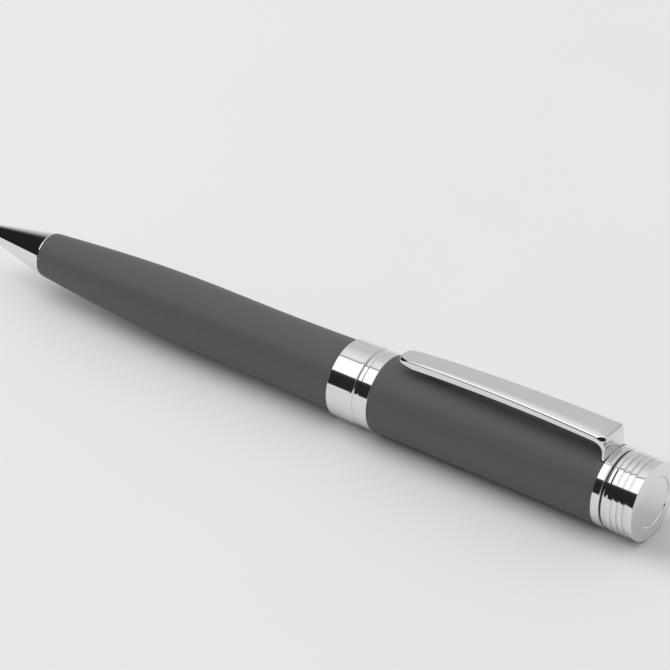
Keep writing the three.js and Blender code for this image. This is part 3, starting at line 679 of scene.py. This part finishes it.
# Levels of the surroundings by their angle in degrees about the pen's axis, from straight up towards the near
# side: the room behind the pen, a thin dark rail, a long white softbox above it, the dark room in front, and
# the floor's tone below
SURROUNDINGS = ((-180, FLOOR_LEVEL), (-95, FLOOR_LEVEL), (-88, 0.62), (-45, 0.62), (-29, 0.73), (-19, 0.83),
                (-9, 0.92), (-2, 0.86), (0, 0.36), (2.5, 0.36), (4, STRIP_LEVEL), (46, STRIP_LEVEL),
                (49, 0.05), (58, 0.022), (88, 0.022), (90, FLOOR_LEVEL), (180, FLOOR_LEVEL))
# The same a little towards the knob's end, where the room is dimmer, and far towards it, without the softbox
SURROUNDINGS_RIGHT = ((-180, 0.72), (-95, 0.72), (-88, 0.48), (-40, 0.48), (-20, 0.55), (1, 0.65),
                      (5, STRIP_LEVEL), (46, STRIP_LEVEL), (50, 0.05), (58, 0.022), (88, 0.022),
                      (90, FLOOR_LEVEL), (180, FLOOR_LEVEL))
SURROUNDINGS_END = ((-180, 0.72), (-95, 0.72), (-80, 0.67), (-60, 0.7), (-45, 0.7), (0, 0.55), (40, 0.45),
                    (56, 0.12), (84, 0.12), (90, FLOOR_LEVEL), (180, FLOOR_LEVEL))
# The same towards the nose, where only the lowest part of the room behind the pen is light, and beyond it
SURROUNDINGS_LEFT = ((-180, FLOOR_LEVEL), (-95, FLOOR_LEVEL), (-88, 0.66), (-72, 0.55), (-55, 0.28),
                     (-38, 0.05), (-28, 0.018), (88, 0.016), (90, FLOOR_LEVEL), (180, FLOOR_LEVEL))
SURROUNDINGS_FAR = ((-180, FLOOR_LEVEL), (-95, FLOOR_LEVEL), (-88, 0.5), (-28, 0.4), (-14, 0.018),
                    (88, 0.016), (90, FLOOR_LEVEL), (180, FLOOR_LEVEL))
DARK_END = (0.016, 0.018, 0.022, 1)
# Where one list blends into the next, by the share of a mirrored direction that points along the pen
TO_RIGHT = (0.1, 0.35)
TO_END = (0.5, 0.8)
FROM_LEFT = (-0.775, -0.60)
FROM_FAR = (-0.90, -0.865)
FROM_DARK_END = (-0.985, -0.965)
# The even light that matt surfaces see is stronger from above and behind
MATT_LIGHT = ((-180, 0.3), (-92, 0.3), (-85, 0.70), (-10, 0.92), (20, 0.60), (45, 0.30), (88, 0.20),
              (95, 0.2), (180, 0.3))
# Places of the mix node's colour sockets among its inputs and outputs
MIX_FIRST, MIX_SECOND, MIX_RESULT = 6, 7, 2


def add_world():
    """Glossy surfaces mirror the surroundings, matt ones see an even room, the camera sees a plain ground."""
    world = bpy.data.worlds.new("studio")
    world.use_nodes = True
    bpy.context.scene.world = world
    tree = world.node_tree
    tree.nodes.clear()
    link = tree.links.new

    def new(kind, **settings):
        node = tree.nodes.new(kind)
        for key, value in settings.items():
            if key in node.inputs:
                node.inputs[key].default_value = value
            else:
                setattr(node, key, value)
        return node

    def ramp(source, levels):
        """Levels as shares of the brightest one, since a ramp's colours end at 1."""
        node = new("ShaderNodeValToRGB")
        link(source, node.inputs["Fac"])
        elements = node.color_ramp.elements
        for i, (degrees, level) in enumerate(levels):
            place = (degrees + 180) / 360
            element = elements[i] if i < 2 else elements.new(place)
            element.position = place
            share = level / STRIP_LEVEL
            element.color = (share, share, share, 1)
        return node.outputs["Color"]

    def mixed(factor, first, second):
        node = new("ShaderNodeMix", data_type="RGBA")
        link(factor, node.inputs["Factor"])
        for place, value in ((MIX_FIRST, first), (MIX_SECOND, second)):
            if isinstance(value, tuple):
                node.inputs[place].default_value = value
            else:
                link(value, node.inputs[place])
        return node.outputs[MIX_RESULT]

    def map_range(source, low, high, interpolation_type="SMOOTHSTEP"):
        node = new("ShaderNodeMapRange", interpolation_type=interpolation_type)
        node.inputs["From Min"].default_value = low
        node.inputs["From Max"].default_value = high
        link(source, node.inputs["Value"])
        return node.outputs["Result"]

    def choose(ray, no, yes):
        node = new("ShaderNodeMixShader")
        link(path.outputs[ray], node.inputs["Fac"])
        link(no, node.inputs[1])
        link(yes, node.inputs[2])
        return node.outputs[0]

    coordinate = new("ShaderNodeTexCoord")
    split = new("ShaderNodeSeparateXYZ")
    link(coordinate.outputs["Generated"], split.inputs["Vector"])
    flip = new("ShaderNodeMath", operation="MULTIPLY")
    flip.inputs[1].default_value = -1
    link(split.outputs["Y"], flip.inputs[0])
    angle = new("ShaderNodeMath", operation="ARCTAN2")
    link(flip.outputs[0], angle.inputs[0])
    link(split.outputs["Z"], angle.inputs[1])
    around = map_range(angle.outputs[0], -math.pi, math.pi, "LINEAR")
    along = split.outputs["X"]
    right = mixed(map_range(along, *TO_RIGHT), ramp(around, SURROUNDINGS), ramp(around, SURROUNDINGS_RIGHT))
    right = mixed(map_range(along, *TO_END), right, ramp(around, SURROUNDINGS_END))
    left = mixed(map_range(along, *FROM_FAR), ramp(around, SURROUNDINGS_FAR), ramp(around, SURROUNDINGS_LEFT))
    left = mixed(map_range(along, *FROM_DARK_END), DARK_END, left)
    studio = new("ShaderNodeBackground", Strength=STRIP_LEVEL)
    link(mixed(map_range(along, *FROM_LEFT), left, right), studio.inputs["Color"])
    even = new("ShaderNodeBackground", Strength=STRIP_LEVEL)
    link(ramp(around, MATT_LIGHT), even.inputs["Color"])
    plain = new("ShaderNodeBackground", Color=(FLOOR_LEVEL, FLOOR_LEVEL, FLOOR_LEVEL, 1))
    path = new("ShaderNodeLightPath")
    lit = choose("Is Glossy Ray", even.outputs[0], studio.outputs[0])
    output = new("ShaderNodeOutputWorld")
    link(choose("Is Camera Ray", lit, plain.outputs[0]), output.inputs["Surface"])


add_floor()
add_world()
add_lamp()

bpy.context.scene.view_settings.view_transform = "Standard"
